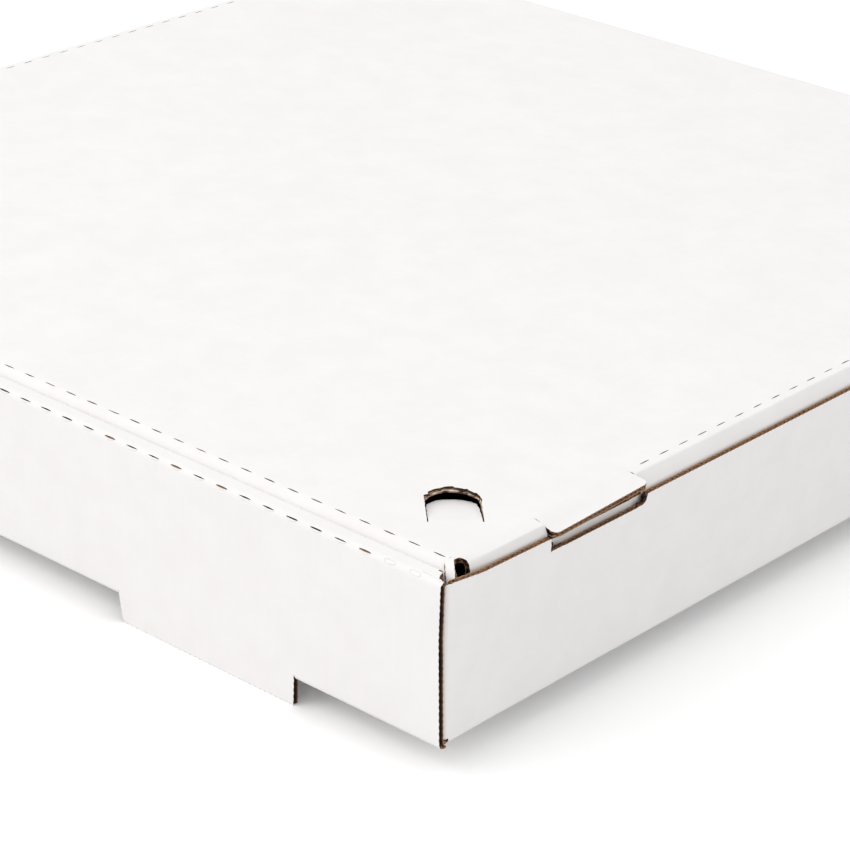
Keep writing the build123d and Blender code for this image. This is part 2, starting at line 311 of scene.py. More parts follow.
def makeCutEdge(finish):
    material, tree, shader = newMaterial("cutEdge")
    place = addNode(tree, "ShaderNodeTexCoord").outputs["Object"]
    grain = addNode(tree, "ShaderNodeTexNoise", Vector=place, **finish["grainNoise"]).outputs["Fac"]
    grainLimits = (-finish["grain"], finish["grain"])
    grainShare = addRange(tree, grain, fromRange=finish["grainRange"], toRange=grainLimits)
    # painted shade: the deeper a point lies in the cut edge, the darker its colour, down to near black
    depth = addNode(tree, "ShaderNodeAttribute", attribute_name="cutShadeDepth").outputs["Fac"]
    depthShare = addMath(tree, "DIVIDE", depth, finish["fullDepth"])
    ramp = addNode(tree, "ShaderNodeValToRGB")
    stops = ramp.color_ramp.elements
    while len(stops) < len(finish["depthShadeColours"]):
        stops.new(0.5)
    for stop, (share, colour) in zip(stops, finish["depthShadeColours"]):
        stop.position = share
        stop.color = colour
    feed(tree, ramp.inputs["Fac"], addMath(tree, "ADD", depthShare, grainShare, use_clamp=True))

    # torn edges show a frayed white layer
    torn = addNode(tree, "ShaderNodeAttribute", attribute_name="cutTorn").outputs["Fac"]
    colour = addMix(tree, torn, ramp.outputs["Color"], finish["tornWhite"])
    feed(tree, shader.inputs["Base Color"], colour)
    feed(tree, shader.inputs["Roughness"], finish["roughness"])
    return material


whiteLiner = makePaper("whiteLiner")
kraftLiner = makePaper("kraftLiner")
cutEdge = makeCutEdge(cutFinish)
boardMaterials = (whiteLiner, kraftLiner, cutEdge)
whiteSlot, kraftSlot, cutSlot = 0, 1, 2
print("materials made")


# Floor: white to the camera, plain pale to the light that it sends back
floorSetup = {
    "size": 8,
    "colour": (0.86, 0.86, 0.86, 1),
    "seenColour": (1.0, 1.0, 1.0, 1),
    "seenGlow": 0.10,
    "roughness": 0.9,
}


def addFloor(setup):
    material, tree, shader = newMaterial("studioFloor")
    path = addNode(tree, "ShaderNodeLightPath").outputs
    cameraOrGloss = addMath(tree, "MAXIMUM", path["Is Camera Ray"], path["Is Glossy Ray"])
    seen = addMath(tree, "MAXIMUM", cameraOrGloss, path["Is Transmission Ray"])
    feed(tree, shader.inputs["Base Color"], addMix(tree, seen, setup["colour"], setup["seenColour"]))
    feed(tree, shader.inputs["Emission Color"], setup["seenColour"])
    feed(tree, shader.inputs["Emission Strength"], addMath(tree, "MULTIPLY", seen, setup["seenGlow"]))
    feed(tree, shader.inputs["Roughness"], setup["roughness"])
    bpy.ops.mesh.primitive_plane_add(size=setup["size"])
    floor = bpy.context.object
    floor.name = "studioFloor"
    floor.data.materials.append(material)


addFloor(floorSetup)
print("camera, light and floor set")


def deselectAll():
    for thing in bpy.context.selected_objects:
        thing.select_set(False)


def makeActive(thing):
    deselectAll()
    thing.select_set(True)
    bpy.context.view_layer.objects.active = thing


def clamp(value):
    return min(1, max(0, value))


# Board: the outer liner of a folded sheet, given its thickness, inner liner and cut edges
boardSetup = {
    "thickness": 1.6 * mm,
    "mergeDistance": 0.002 * mm,
    "creaseAngle": math.radians(35),
    "flatAngle": math.radians(0.05),
    "gridStep": 6 * mm,
    "edgeStep": 0.45 * mm,
    "slotAround": 12 * mm,      # a shorter outline is a perforation
    "slotStep": 0.6 * mm,
    "rows": 12,                 # across a cut edge
    "facing": 0.7,              # least part along x or y of the normal of a wall that faces that way
    "upright": 0.8,             # least part along z of an upright edge
    "acrossFlutes": (0.5, 0.85),    # most part along the flutes of an edge that shows them: flat, side wall
    "strandRun": Vector((0.3, 1, 0.2)),
    "tuckedTabs": (1.75 * mm, 3.7 * mm),    # how far behind the front or back face the dust tabs lie
}


def addBoardMaterials(mesh):
    for material in boardMaterials:
        mesh.materials.append(material)


def copyNode(nodeName, pieceName):
    piece = bpy.data.objects.new(pieceName, nodes[nodeName].data.copy())
    scene.collection.objects.link(piece)
    piece.data.materials.clear()
    addBoardMaterials(piece.data)
    makeActive(piece)
    bpy.ops.object.mode_set(mode="EDIT")
    bpy.ops.mesh.select_all(action="SELECT")
    bpy.ops.mesh.customdata_custom_splitnormals_clear()
    bpy.ops.mesh.remove_doubles(threshold=boardSetup["mergeDistance"])
    bpy.ops.object.mode_set(mode="OBJECT")
    return piece


def selectFaces(piece, test):
    bpy.ops.object.mode_set(mode="EDIT")
    bpy.ops.mesh.select_mode(type="FACE")
    bpy.ops.mesh.select_all(action="DESELECT")
    bpy.ops.object.mode_set(mode="OBJECT")
    for face in piece.data.polygons:
        face.select = test(face)


# Leaves the faces that join the seed without a sharp edge between them
def keepOuterLiner(piece, isSeed, isHinge=None):
    if isHinge:
        selectFaces(piece, isHinge)
        bpy.ops.object.mode_set(mode="EDIT")
        bpy.ops.mesh.delete(type="FACE")
        bpy.ops.object.mode_set(mode="OBJECT")
    bpy.ops.object.mode_set(mode="EDIT")
    bpy.ops.mesh.select_mode(type="EDGE")
    bpy.ops.mesh.select_all(action="DESELECT")
    bpy.ops.mesh.edges_select_sharp(sharpness=boardSetup["creaseAngle"])
    bpy.ops.mesh.mark_sharp()
    bpy.ops.object.mode_set(mode="OBJECT")
    selectFaces(piece, isSeed)
    bpy.ops.object.mode_set(mode="EDIT")
    bpy.ops.mesh.select_linked(delimit={"SHARP"})
    bpy.ops.mesh.select_all(action="INVERT")
    bpy.ops.mesh.delete(type="FACE")
    bpy.ops.mesh.select_all(action="SELECT")
    bpy.ops.mesh.mark_sharp(clear=True)
    bpy.ops.mesh.dissolve_limited(angle_limit=boardSetup["flatAngle"])
    bpy.ops.object.mode_set(mode="OBJECT")


def cutGrid(piece):
    step = boardSetup["gridStep"]
    limits = []
    for axis in range(3):
        places = [vert.co[axis] for vert in piece.data.vertices]
        limits.append((min(places), max(places)))
    bpy.ops.object.mode_set(mode="EDIT")
    for axis, (low, high) in enumerate(limits):
        normal = [0, 0, 0]
        normal[axis] = 1
        place = low + step / 2
        while place < high:
            bpy.ops.mesh.select_all(action="SELECT")
            bpy.ops.mesh.bisect(plane_co=[part * place for part in normal], plane_no=normal)
            place += step
    bpy.ops.object.mode_set(mode="OBJECT")


# Rings of points and edges round the open borders of the sheet
def outlineLoops(mesh):
    loops = []
    left = {edge for edge in mesh.edges if edge.is_boundary}
    for edge in mesh.edges:
        if edge not in left:
            continue
        left.remove(edge)
        first, corner = edge.verts
        ring = [first, corner]
        edges = [edge]
        while corner != first:
            step = next((e for e in corner.link_edges if e in left), None)
            if step is None:
                break
            left.remove(step)
            edges.append(step)
            corner = step.other_vert(corner)
            ring.append(corner)
        loops.append((ring, edges))
    return loops


# Either the perforations or all the other outlines
def chosenLoops(mesh, isSlot):
    chosen = []
    for ring, edges in outlineLoops(mesh):
        around = sum(edge.calc_length() for edge in edges)
        if (around < boardSetup["slotAround"]) == isSlot:
            chosen.append((ring, edges))
    return chosen


def splitEdge(edge, step):
    corner = edge.verts[0]
    for rest in range(max(1, round(edge.calc_length() / step)), 1, -1):
        newEdge, newCorner = bmesh.utils.edge_split(edge, corner, 1 / rest)
        edge = edge if corner in newEdge.verts else newEdge
        corner = newCorner


# Splits the chosen outlines finely and gives the points round each one
def splitOutlines(mesh, isSlot, step):
    for ring, edges in chosenLoops(mesh, isSlot):
        for edge in edges:
            splitEdge(edge, step)
    mesh.normal_update()
    return [ring[:-1] for ring, edges in chosenLoops(mesh, isSlot)]


# Kinds of cut edge
crushedEdge, flutedEdge, openEdge = 0, 1, 2


def isDustTab(place):
    nearest, farthest = boardSetup["tuckedTabs"]
    return nearest < min(place.y - trayLow[1], trayHigh[1] - place.y) < farthest


# Flutes run from front to back, and upwards in the front and back walls and the lid's front flap
def fluteDirection(normal, place):
    if abs(normal.y) < boardSetup["facing"]:
        return Vector((0, 1, 0))
    return Vector((1, 0, 0)) if isDustTab(place) else Vector((0, 0, 1))


def edgeKind(tangent, normal, place):
    setup = boardSetup
    flatLimit, sideLimit = setup["acrossFlutes"]
    limit = flatLimit if abs(normal.x) < setup["facing"] else sideLimit
    if abs(tangent.dot(fluteDirection(normal, place))) < limit:
        return flutedEdge
    isUpright = abs(tangent.z) > setup["upright"] and abs(normal.y) > setup["facing"]
    return openEdge if isUpright else crushedEdge


# Wear of a cut edge: share torn, share of its pattern's depth, how far the two liners are set back
def plainWear(place):
    return 0, 1, 0, 0


# Stores where each point lies on the cut outlines
def markOutlines(piece, isSeam, wearAt):
    mesh = bmesh.new()
    mesh.from_mesh(piece.data)
    run = mesh.verts.layers.float.new("cutRun")
    out = mesh.verts.layers.float_vector.new("cutOut")
    kind = mesh.verts.layers.float.new("cutKind")
    torn = mesh.verts.layers.float.new("cutTorn")
    setBack = mesh.verts.layers.float_vector.new("cutSetBack")
    for ring in splitOutlines(mesh, False, boardSetup["edgeStep"]):
        place = 0
        for index, vert in enumerate(ring):
            after = ring[(index + 1) % len(ring)]
            tangent = (after.co - ring[index - 1].co).normalized()
            faces = vert.link_faces
            normal = sum((face.normal for face in faces), Vector()).normalized()
            inward = sum((face.calc_center_median() for face in faces), Vector()) / len(faces) - vert.co
            side = tangent.cross(normal)
            if side.dot(inward) > 0:
                side = -side
            # the strands lean the same way all along, whichever way the outline runs
            vert[run] = math.copysign(place, tangent.dot(boardSetup["strandRun"]))
            if not isSeam(vert.co):
                vert[out] = side.normalized()
            vert[kind] = edgeKind(tangent, normal, vert.co)
            vert[torn], *vert[setBack] = wearAt(vert.co)
            place += (after.co - vert.co).length
    mesh.to_mesh(piece.data)
    mesh.free()


# Patterns of the cut edges, from the run along an edge and the share of the way across the board.
# Values for noiseAlong are its amount, its length and its row of the noise. Values for noiseOver
# are its length, how fast it changes across the board, and its row.
def noiseAlong(run, values):
    amount, length, row = values
    return amount * noise.noise(Vector((run / length, row, 0)))


def noiseOver(run, share, values):
    length, across, row = values
    return noise.noise(Vector((run / length, across * share, row)))


# Swings smoothly between 0 and 1
def swing(turns):
    return 0.5 + 0.5 * math.sin(2 * math.pi * turns)


# Teeth of the cutting blade
toothSetup = {
    "pitch": 1.814 * mm,
    "depth": 0.16 * mm,
}


def toothDepth(run):
    return toothSetup["depth"] * swing(run / toothSetup["pitch"])


# Crushed by the die along the flutes: slanting strands like a rope's, with a wavy parting line
crushedPattern = {
    "strandDepth": 0.36 * mm,
    "strandTwist": 1.5,         # turns across the board
    "strandNoise": (0.35, 4 * mm, 5.1),
    "rimShare": 0.3,            # of the strands' depth that is left at the liners
    "lineDepth": 0.42 * mm,
    "lineShare": 0.47,          # of the way across the board
    "lineWave": 0.17,
    "lineWidthShare": 0.2,
    "lineNoise": (1, 9 * mm, 0),
    "lineWander": 0.08,
    "lineStrength": (0.75, 0.4),    # middle and change of its depth with the noise
}


def crushedDepth(run, share):
    pattern = crushedPattern
    turns = run / toothSetup["pitch"] + noiseAlong(run, pattern["strandNoise"])
    strand = swing(turns + pattern["strandTwist"] * share)
    swell = pattern["rimShare"] + (1 - pattern["rimShare"]) * math.sin(math.pi * share)
    change = noiseAlong(run, pattern["lineNoise"])
    middle = pattern["lineShare"] + pattern["lineWave"] * math.sin(2 * math.pi * turns)
    middle += pattern["lineWander"] * change
    line = max(0, 1 - abs(share - middle) / pattern["lineWidthShare"])
    strength, strengthChange = pattern["lineStrength"]
    lineDepth = pattern["lineDepth"] * line * (strength + strengthChange * change)
    return swell * pattern["strandDepth"] * strand + lineDepth


# Cut across the flutes: the wave of the medium between the two liners
flutedPattern = {
    "waveShare": 0.29,
    "linerShare": 0.14,
    "mediumShare": 0.09,        # half of the medium's width
    "fadeShare": 0.09,
    "depth": 1.0 * mm,
}


def flutedDepth(run, share):
    pattern = flutedPattern
    if min(share, 1 - share) < pattern["linerShare"]:
        return toothDepth(run)
    middle = 0.5 + pattern["waveShare"] * math.sin(2 * math.pi * run / flutePitch)
    away = abs(share - middle) - pattern["mediumShare"]
    return toothDepth(run) + pattern["depth"] * clamp(away / pattern["fadeShare"])


# Cut along the open channel of one flute
openedPattern = {
    "linerShare": 0.14,
    "rippleShare": 0.05,
    "rippleNoise": (0.09, 4 * mm, 3.3),
    "fadeShare": 0.1,
    "depth": 1.3 * mm,
}


def openedDepth(run, share):
    pattern = openedPattern
    ripple = pattern["rippleShare"] * math.sin(2 * math.pi * run / toothSetup["pitch"])
    ripple += noiseAlong(run, pattern["rippleNoise"])
    toLiner = min(share, 1 - share) - pattern["linerShare"] - ripple
    return toothDepth(run) + pattern["depth"] * clamp(toLiner / pattern["fadeShare"])


# Torn: ragged, split under the top liner, with a frayed white layer
tornPattern = {
    "depth": 0.4 * mm,
    "leastShare": 0.3,
    "rough": (1.4 * mm, 2.2, 1.7),
    "fine": (0.56 * mm, 5, 9.1),
    "fineShare": 0.4,
    "splitShare": 0.17,         # of the way across the board
    "splitNoise": (0.12, 2.8 * mm, 4.4),
    "splitWidthShare": 0.16,
    "splitDepth": 0.7 * mm,
    "frayShare": 0.66,          # of the way across the board
    "frayNoise": (0.2, 2.24 * mm, 7.7),
    "frayHalfShare": 0.15,
    "frayFadeShare": 0.05,
    "frayKept": (0.75, 3),      # middle and change of the white that is left
    "frayRough": (1.4 * mm, 3, 2.9),
}


def tornDepth(run, share):
    pattern = tornPattern
    ragged = noiseOver(run, share, pattern["rough"])
    ragged += pattern["fineShare"] * noiseOver(run, share, pattern["fine"])
    middle = pattern["splitShare"] + noiseAlong(run, pattern["splitNoise"])
    split = max(0, 1 - abs(share - middle) / pattern["splitWidthShare"])
    return pattern["depth"] * max(0, pattern["leastShare"] + ragged) + pattern["splitDepth"] * split


# How much of the white layer shows at a place of a torn edge
def frayAt(run, share):
    pattern = tornPattern
    away = abs(share - pattern["frayShare"] - noiseAlong(run, pattern["frayNoise"]))
    kept, keptChange = pattern["frayKept"]
    kept = clamp(kept + keptChange * noiseOver(run, share, pattern["frayRough"]))
    return kept * clamp((pattern["frayHalfShare"] - away) / pattern["frayFadeShare"])


# Pattern of each kind of edge, and how fast its painted shade deepens with its depth
edgePatterns = {
    crushedEdge: (crushedDepth, 1),
    flutedEdge: (flutedDepth, 1.6),
    openEdge: (openedDepth, 1.3),
}


# Perforations: each short cut closes like a lens, some more than others
slotShape = {
    "leastLens": 0.1,
    "lensPower": 0.6,
    "ragged": 0.3,
    "raggedLength": 0.8 * mm,
    "openLength": 7 * mm,       # over which their opening changes
}


def shapeSlots(piece, leastOpen, openGrowth):
    mesh = bmesh.new()
    mesh.from_mesh(piece.data)
    mark = mesh.verts.layers.float.new("slotMark")
    markNormal = mesh.verts.layers.float_vector.new("slotNormal")
    for verts in splitOutlines(mesh, True, boardSetup["slotStep"]):
        centre = sum((vert.co for vert in verts), Vector()) / len(verts)
        extent = [max(abs(vert.co[axis] - centre[axis]) for vert in verts) for axis in range(2)]
        along = Vector((1, 0, 0)) if extent[0] > extent[1] else Vector((0, 1, 0))
        faces = {face for vert in verts for face in vert.link_faces}
        normal = sum((face.normal for face in faces), Vector()).normalized()
        across = normal.cross(along).normalized()
        opened = leastOpen + openGrowth * abs(noise.noise(centre / slotShape["openLength"]))
        for vert in verts:
            share = (vert.co - centre).dot(along) / max(extent)
            offset = (vert.co - centre).dot(across)
            lens = max(slotShape["leastLens"], 1 - share * share) ** slotShape["lensPower"]
            ragged = 1 + slotShape["ragged"] * noise.noise(vert.co / slotShape["raggedLength"])
            vert.co += across * offset * (min(1, opened * lens * ragged) - 1)
            vert[mark] = 1
            vert[markNormal] = normal
    mesh.to_mesh(piece.data)
    mesh.free()


# Panels sink a little between their edges, in slow uneven waves
warpSetup = {
    "depth": 0.2 * mm,
    "length": 38 * mm,
    "start": 16 * mm,           # from the nearest edge
    "middle": 0.5,              # middle and change of the sunk share
    "change": 0.8,
    "sideways": 0.3,            # least part along x of the normal of a side wall or its fold
}


# How far a point lies from the middle of the box, measured along the board round the side folds
def fluteRunAt(vert):
    run = vert.co.x
    if abs(vert.normal.x) > warpSetup["sideways"]:
        foldLevel = trayLow[2] if vert.normal.z < 0 else lidTop
        run += math.copysign(abs(vert.co.z - foldLevel), vert.co.x)
    return run


def warpPanels(piece):
    mesh = bmesh.new()
    mesh.from_mesh(piece.data)
    mesh.normal_update()
    rims = [vert.co.copy() for vert in mesh.verts if vert.is_boundary]
    tree = KDTree(len(rims))
    for index, place in enumerate(rims):
        tree.insert(place, index)
    tree.balance()
    fluteRun = mesh.verts.layers.float.new("fluteRun")
    for vert in mesh.verts:
        vert[fluteRun] = fluteRunAt(vert)
        if vert.is_boundary:
            continue
        fade = min(1, tree.find(vert.co)[2] / warpSetup["start"])
        sunk = clamp(warpSetup["middle"] + warpSetup["change"] * noise.noise(vert.co / warpSetup["length"]))
        vert.co -= vert.normal * warpSetup["depth"] * fade * fade * sunk
    mesh.to_mesh(piece.data)
    mesh.free()


def giveThickness(piece):
    thickness = boardSetup["thickness"]
    solid = piece.modifiers.new("board", "SOLIDIFY")
    solid.thickness = thickness
    solid.offset = -1
    solid.use_even_offset = True
    solid.material_offset = kraftSlot
    solid.material_offset_rim = cutSlot
    makeActive(piece)
    outerCount = len(piece.data.vertices)
    outer = [vert.co.copy() for vert in piece.data.vertices]
    normals = [vert.normal.copy() for vert in piece.data.vertices]
    isSlot = [item.value > 0 for item in piece.data.attributes["slotMark"].data]
    slotNormals = [item.vector.copy() for item in piece.data.attributes["slotNormal"].data]
    bpy.ops.object.modifier_apply(modifier="board")

    # the ends of the short cuts get their thickness straight along the board's own normal
    for index in range(outerCount):
        inner = piece.data.vertices[index + outerCount]
        normal = slotNormals[index] if isSlot[index] else normals[index]
        if isSlot[index] or (inner.co - outer[index]).length > 2 * thickness:
            inner.co = outer[index] - normal * thickness
    return outerCount


# Gives the cut edges their rows of points, presses each point in by the edge's pattern, and stores the depth
# that sets its painted shade
def shapeCutEdges(piece, outerCount):
    mesh = bmesh.new()
    mesh.from_mesh(piece.data)
    run = mesh.verts.layers.float["cutRun"]
    out = mesh.verts.layers.float_vector["cutOut"]
    kind = mesh.verts.layers.float["cutKind"]
    torn = mesh.verts.layers.float["cutTorn"]
    setBack = mesh.verts.layers.float_vector["cutSetBack"]
    share = mesh.verts.layers.float.new("cutShare")
    depth = mesh.verts.layers.float.new("cutShadeDepth")
    mesh.verts.ensure_lookup_table()

    # seams and plain points have no outward direction
    def isOnCut(vert):
        return vert[out].length > 0.5

    for vert in mesh.verts:
        vert[share] = 0 if vert.index < outerCount else 1
    rungs = []
    for edge in mesh.edges:
        first, second = edge.verts
        if first[share] != second[share] and isOnCut(first):
            rungs.append(edge)
    bmesh.ops.subdivide_edges(mesh, edges=rungs, cuts=boardSetup["rows"] - 1, use_grid_fill=True)
    for vert in mesh.verts:
        if not isOnCut(vert):
            continue
        patternShare, topBack, lowBack = vert[setBack]
        patternDepth, paintedShadeRate = edgePatterns[round(vert[kind])]
        cut = patternDepth(vert[run], vert[share])
        if vert[torn]:
            cut += (tornDepth(vert[run], vert[share]) - cut) * vert[torn]
        # painted shade: the stored depth darkens the cut edge's colour
        vert[depth] = cut * paintedShadeRate
        slant = topBack * (1 - vert[share]) + lowBack * vert[share]
        vert.co -= vert[out] * (cut * patternShare + slant)
        vert[torn] *= frayAt(vert[run], vert[share])
    for face in mesh.faces:
        face.smooth = True
    mesh.to_mesh(piece.data)
    mesh.free()
    makeActive(piece)
    bpy.ops.object.shade_smooth_by_angle(angle=boardSetup["creaseAngle"])


def finishBoard(piece, isSeam, wearAt):
    warpPanels(piece)
    markOutlines(piece, isSeam, wearAt)
    outerCount = giveThickness(piece)
    shapeCutEdges(piece, outerCount)
    print(piece.name, "built,", len(piece.data.polygons), "faces")


# Folded crease between the back wall and the lid
bendSetup = {
    "radius": 0.8 * mm,
    "lidReach": 1.8 * mm,
    "wallReach": 1.1 * mm,
    "arcSteps": 3,
    "endZone": 0.5 * mm,        # the lid's back edge lies past this, before the hinge line
    "outerFrom": 0.24 * mm,     # faces farther out than this, to the back or up, are white
    # no point lies between these two places, so each follows either the tray or the lid fully
    "turnStart": (0, hinge.y + 0.125 * mm, hinge.z - 0.125 * mm),
    "turnEnd": (0, hinge.y + 0.025 * mm, hinge.z - 0.025 * mm),
}


def lidBackHalfWidth(setup):
    lidPoints = [vert.co for vert in nodes["lid"].data.vertices]
    return max(abs(point.x) for point in lidPoints if point.y > hinge.y - setup["endZone"])


backHalfWidth = lidBackHalfWidth(bendSetup)


def bendSection(setup):
    radius = setup["radius"]
    reach = setup["lidReach"]
    points = [(radius, -setup["wallReach"])]
    for step in range(setup["arcSteps"] + 1):
        turn = math.pi / 2 * step / setup["arcSteps"]
        points.append((radius * math.cos(turn), radius * math.sin(turn)))
    points += [(-reach / 2, radius), (-reach, radius)]
    points += [(-reach, -radius), (-radius, -radius), (-radius, -setup["wallReach"])]
    return points


def buildBackCrease(setup):
    points = bendSection(setup)
    deselectAll()
    bpy.ops.mesh.primitive_circle_add(vertices=len(points), radius=1, fill_type="NGON")
    piece = bpy.context.object
    piece.name = "backCrease"
    for vert, (y, z) in zip(piece.data.vertices, points):
        vert.co = (-backHalfWidth, hinge.y + y, hinge.z + z)
    bpy.ops.object.mode_set(mode="EDIT")
    bpy.ops.mesh.select_all(action="SELECT")
    bpy.ops.mesh.extrude_region_move(TRANSFORM_OT_translate={"value": (2 * backHalfWidth, 0, 0)})
    bpy.ops.mesh.select_all(action="SELECT")
    bpy.ops.mesh.normals_make_consistent(inside=False)
    bpy.ops.object.mode_set(mode="OBJECT")
    addBoardMaterials(piece.data)
    for face in piece.data.polygons:
        if abs(face.normal.x) > boardSetup["facing"]:
            face.material_index = cutSlot
        elif max(face.center.y - hinge.y, face.center.z - hinge.z) > setup["outerFrom"]:
            face.material_index = whiteSlot
        else:
            face.material_index = kraftSlot
    makeActive(piece)
    bpy.ops.object.shade_smooth_by_angle(angle=boardSetup["creaseAngle"])
    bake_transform(piece, "tray", "lid", start=setup["turnStart"], end=setup["turnEnd"])
    print("back crease built")


# Tray
sheetSeed = {
    "facing": 0.99,             # least part along z of the seed face's normal
    "area": 0.002,              # square metres, only the sheet's largest faces have more
    "levelGap": 0.1 * mm,
}

traySetup = {
    "leastOpen": 0.85,          # share of a cut's width, and its growth
    "openGrowth": 0.5,
    # the seam under the back crease, from the hinge line and from the ends of the crease
    "seamBack": 1 * mm,
    "seamDrop": 1.3 * mm,
    "seamPast": 0.3 * mm,
    # the mitred ends of the top strip, from the middle and from the front
    "mitreFrom": 173.3 * mm,
    "mitreTo": 178.5 * mm,
    "mitreFront": trayLow[1] + 1.4 * mm,
    "mitreBack": trayLow[1] + 4.65 * mm,
    "stripLevel": 52.5 * mm,
    "mitreSlant": 0.6 * mm,
    "mitreGrowth": 1.5 * mm,
    "mitrePattern": 0.3,        # share of the pattern's depth
}


def isTraySeed(face):
    return face.normal.z < -sheetSeed["facing"] and face.area > sheetSeed["area"]


def isTraySeam(place):
    setup = traySetup
    isBack = place.y > hinge.y - setup["seamBack"] and place.z > hinge.z - setup["seamDrop"]
    return isBack and abs(place.x) < backHalfWidth + setup["seamPast"]


# The mitred ends of the top strip are cut at a slant, which shows the board's inside
def trayWear(place):
    setup = traySetup
    isStripEnd = setup["mitreFrom"] < abs(place.x) < setup["mitreTo"] and place.z > setup["stripLevel"]
    if isStripEnd and setup["mitreFront"] < place.y < setup["mitreBack"]:
        growth = min(1, (setup["mitreBack"] - place.y) / setup["mitreGrowth"])
        return 0, setup["mitrePattern"], setup["mitreSlant"] * growth, 0
    return plainWear(place)


def buildTray(setup):
    piece = copyNode("tray", "trayBoard")
    keepOuterLiner(piece, isTraySeed)
    cutGrid(piece)
    shapeSlots(piece, setup["leastOpen"], setup["openGrowth"])
    finishBoard(piece, isTraySeam, trayWear)
    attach(piece, "tray")
    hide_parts("tray")


# Marks of the perforating blades on the front wall's upper fold
markSetup = {
    "foldRadius": 1.8 * mm,
    "firstCut": 153.5 * mm,
    "cutPitch": 8.16 * mm,
    "cutCount": 19,
    "cutHalf": 2.05 * mm,
    "ragged": 0.2,
    "raggedLength": 0.9 * mm,
    "openedCuts": (0, 6, 8, 11),
    "pressedOnly": (-2, -1),        # ovals where the blade marked the liner but didn't cut it
    "ovalHalf": (1.7 * mm, 0.55 * mm),
    "ovalPower": 0.7,
    "columns": 14,
    "ovalColumns": 56,
    # sections of the marks: along the fold's curve, out of it, and the depth that sets their painted shade
    # painted shade: the opened cuts turn near black towards their deepest rows
    "openedSection": [
        (0.24 * mm, 0.0, 0.9 * mm),
        (0.12 * mm, 0.03 * mm, 0.45 * mm),
        (-0.05 * mm, 0.06 * mm, 0.1 * mm),
        (-0.26 * mm, 0.05 * mm, 0.05 * mm),
        (-0.3 * mm, -0.1 * mm, 0.3 * mm),
        (0.24 * mm, -0.1 * mm, 0.9 * mm),
    ],
    "lipSection": [
        (-0.24 * mm, -0.02 * mm, 0),
        (-0.36 * mm, 0.1 * mm, 0),
        (-0.7 * mm, 0.2 * mm, 0),
        (-0.74 * mm, -0.02 * mm, 0),
        (-0.7 * mm, -0.12 * mm, 0),
        (-0.3 * mm, -0.12 * mm, 0),
    ],
    "ovalSection": [(-0.13 * mm, -0.03 * mm), (0, 0.22 * mm), (0.13 * mm, -0.03 * mm), (0, -0.12 * mm)],
}


# Point of the fold, along its curve from the middle of the bend and out of its face
def foldPoint(x, along, rise):
    radius = markSetup["foldRadius"]
    turn = math.pi / 4 + along / radius
    y = trayLow[1] + radius - (radius + rise) * math.cos(turn)
    z = trayHigh[2] - radius + (radius + rise) * math.sin(turn)
    return (x, y, z)


# Skins rows of points, each point with the depth that sets its painted shade, into a closed tube
def addTube(mesh, shadeDepthLayer, rows, slot):
    lines = []
    for row in rows:
        line = []
        for point, depth in row:
            vert = mesh.verts.new(point)
            vert[shadeDepthLayer] = depth
            line.append(vert)
        lines.append(line)
    for low, high in zip(lines, lines[1:] + lines[:1]):
        for corners in zip(low, low[1:], high[1:], high):
            face = mesh.faces.new(corners)
            face.material_index = slot
            face.smooth = True


# A mark as long as a cut, pointed at both ends
def addCutMark(mesh, shadeDepthLayer, middle, section, slot):
    setup = markSetup
    rows = [[] for part in section]
    for step in range(setup["columns"] + 1):
        share = 2 * step / setup["columns"] - 1
        x = middle + share * setup["cutHalf"]
        lens = math.sqrt(max(0, 1 - share * share))
        ragged = 1 + noiseAlong(x, (setup["ragged"], setup["raggedLength"], 0))
        for row, (along, rise, depth) in zip(rows, section):
            row.append((foldPoint(x, along * lens * ragged, rise * lens), depth))
    addTube(mesh, shadeDepthLayer, rows, slot)


def addOvalMark(mesh, shadeDepthLayer, middle):
    setup = markSetup
    halfLength, halfWidth = setup["ovalHalf"]
    rows = [[] for part in setup["ovalSection"]]
    for step in range(setup["ovalColumns"] + 1):
        turn = 2 * math.pi * step / setup["ovalColumns"]
        lengthShare = math.copysign(abs(math.cos(turn)) ** setup["ovalPower"], math.cos(turn))
        for row, (grow, rise) in zip(rows, setup["ovalSection"]):
            x = middle + (halfLength + grow) * lengthShare
            row.append((foldPoint(x, (halfWidth + grow) * math.sin(turn), rise), 0))
    addTube(mesh, shadeDepthLayer, rows, whiteSlot)


def buildFoldMarks(setup):
    mesh = bmesh.new()
    shadeDepthLayer = mesh.verts.layers.float.new("cutShadeDepth")
    for side in (1, -1):
        for index in range(setup["cutCount"]):
            middle = side * (setup["firstCut"] - index * setup["cutPitch"])
            addCutMark(mesh, shadeDepthLayer, middle, setup["lipSection"], whiteSlot)
            if index in setup["openedCuts"]:
                addCutMark(mesh, shadeDepthLayer, middle, setup["openedSection"], cutSlot)
        for index in setup["pressedOnly"]:
            addOvalMark(mesh, shadeDepthLayer, side * (setup["firstCut"] - index * setup["cutPitch"]))
    bmesh.ops.remove_doubles(mesh, verts=mesh.verts, dist=boardSetup["mergeDistance"])
    bmesh.ops.recalc_face_normals(mesh, faces=mesh.faces)
    data = bpy.data.meshes.new("foldMarks")
    addBoardMaterials(data)
    mesh.to_mesh(data)
    mesh.free()
    piece = bpy.data.objects.new("foldMarks", data)
    scene.collection.objects.link(piece)
    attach(piece, "tray")
    print("fold marks built,", len(data.polygons), "faces")


